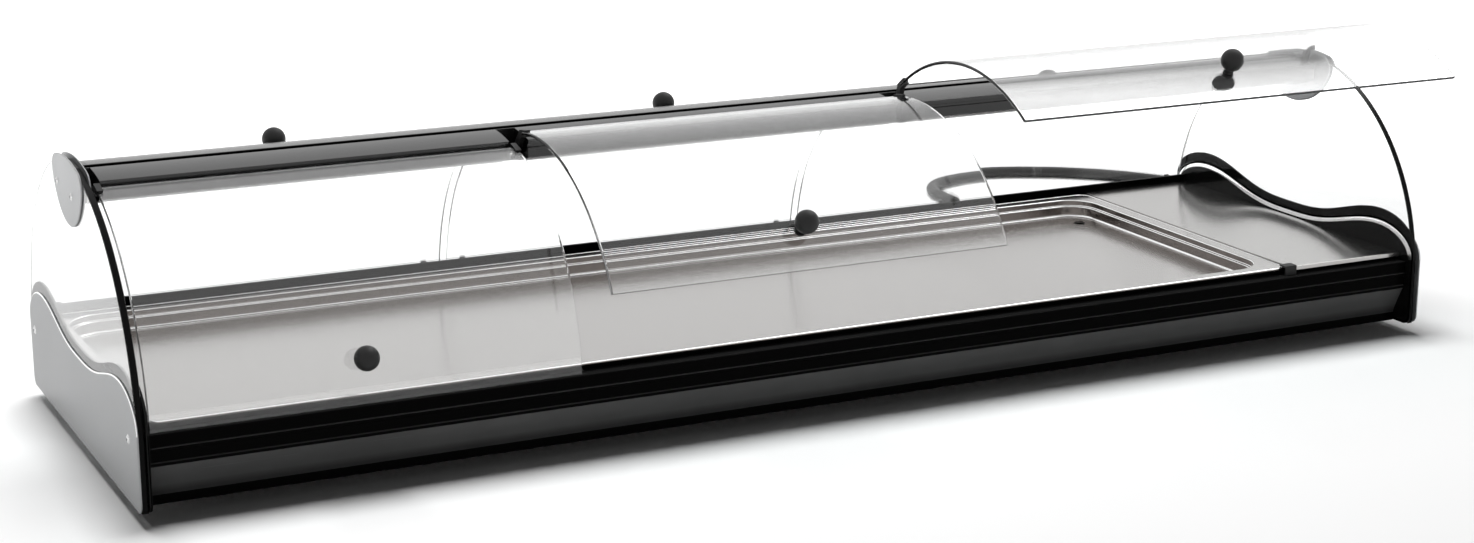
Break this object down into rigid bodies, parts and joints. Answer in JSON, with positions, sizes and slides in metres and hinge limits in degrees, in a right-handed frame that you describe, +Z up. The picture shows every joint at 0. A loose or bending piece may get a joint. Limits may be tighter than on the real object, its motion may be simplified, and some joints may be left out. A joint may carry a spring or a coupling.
{
  "type": "ambient display case",
  "caption": "Long counter display case with curved glass lift-up front doors, tilt-down rear doors, wave-edged ends and a drained tray.",
  "frame": {"origin": "on the counter under the middle of the case's box, with the two raised front doors in their pictured pose", "axes": "+X along the case to the end with the flat deck, -Y towards the customer side with the lift-up doors, +Z up"},
  "size_m": [1.4398, 0.85, 0.3049],
  "materials": {
    "satin_grey": "satin",
    "clear_glass": "polished clear",
    "gloss_black": "gloss",
    "black_extrusion": "semi-gloss",
    "black_plastic": "gloss",
    "stainless": "brushed",
    "bright_steel": "polished",
    "black_rubber": "matte"
  },
  "bodies": {
    "case": {"left_end_plate": "satin_grey", "right_end_plate": "satin_grey", "left_end_glass": "clear_glass", "right_end_glass": "clear_glass", "left_cheek": "gloss_black", "right_cheek": "gloss_black", "left_inner_cover": "gloss_black", "right_inner_cover": "gloss_black", "left_rail_cap_outer": "satin_grey", "right_rail_cap_outer": "satin_grey", "left_rail_cap_inner": "satin_grey", "right_rail_cap_inner": "satin_grey", "left_plate_screws": "bright_steel", "right_plate_screws": "bright_steel", "left_rail_screws": "bright_steel", "right_rail_screws": "bright_steel", "top_rail": "black_extrusion", "front_hinge_rod": "bright_steel", "rear_hinge_rod": "bright_steel", "rear_hinge_brackets": "black_extrusion", "front_extrusion": "black_extrusion", "rear_extrusion": "black_extrusion", "tray": "stainless", "deck_plate": "stainless", "seam_clip": "black_plastic", "base_pan": "stainless", "bearers": "stainless", "seam_bearer": "stainless", "drain_fitting": "stainless", "drain_pipe": "black_plastic", "grommet": "black_rubber", "drain_hose": "black_rubber", "feet": "black_rubber"},
    "front_leaf_1": {"front_door_1": "clear_glass", "front_clips_1": "black_plastic", "front_knob_1": "black_plastic"},
    "front_leaf_2": {"front_door_2": "clear_glass", "front_clips_2": "black_plastic", "front_knob_2": "black_plastic"},
    "front_leaf_3": {"front_door_3": "clear_glass", "front_clips_3": "black_plastic", "front_knob_3": "black_plastic"},
    "rear_leaf_1": {"rear_door_1": "clear_glass", "rear_clips_1": "black_plastic", "rear_knob_1": "black_plastic"},
    "rear_leaf_2": {"rear_door_2": "clear_glass", "rear_clips_2": "black_plastic", "rear_knob_2": "black_plastic"},
    "rear_leaf_3": {"rear_door_3": "clear_glass", "rear_clips_3": "black_plastic", "rear_knob_3": "black_plastic"}
  },
  "joints": [
    {"name": "front_lift_1", "type": "hinge", "parent": "case", "child": "front_leaf_1", "pos_m": [0, 0.00815, 0.228], "axis": [-1, 0, 0], "range_deg": [0, 78]},
    {"name": "front_lift_2", "type": "hinge", "parent": "case", "child": "front_leaf_2", "pos_m": [0, 0.00815, 0.228], "axis": [-1, 0, 0], "range_deg": [-23.1, 54.9]},
    {"name": "front_lift_3", "type": "hinge", "parent": "case", "child": "front_leaf_3", "pos_m": [0, 0.00815, 0.228], "axis": [-1, 0, 0], "range_deg": [-51.3, 26.7]},
    {"name": "rear_tilt_1", "type": "hinge", "parent": "case", "child": "rear_leaf_1", "pos_m": [0, 0.21115, 0.074], "axis": [-1, 0, 0], "range_deg": [0, 95]},
    {"name": "rear_tilt_2", "type": "hinge", "parent": "case", "child": "rear_leaf_2", "pos_m": [0, 0.21115, 0.074], "axis": [-1, 0, 0], "range_deg": [0, 95]},
    {"name": "rear_tilt_3", "type": "hinge", "parent": "case", "child": "rear_leaf_3", "pos_m": [0, 0.21115, 0.074], "axis": [-1, 0, 0], "range_deg": [0, 95]}
  ]
}
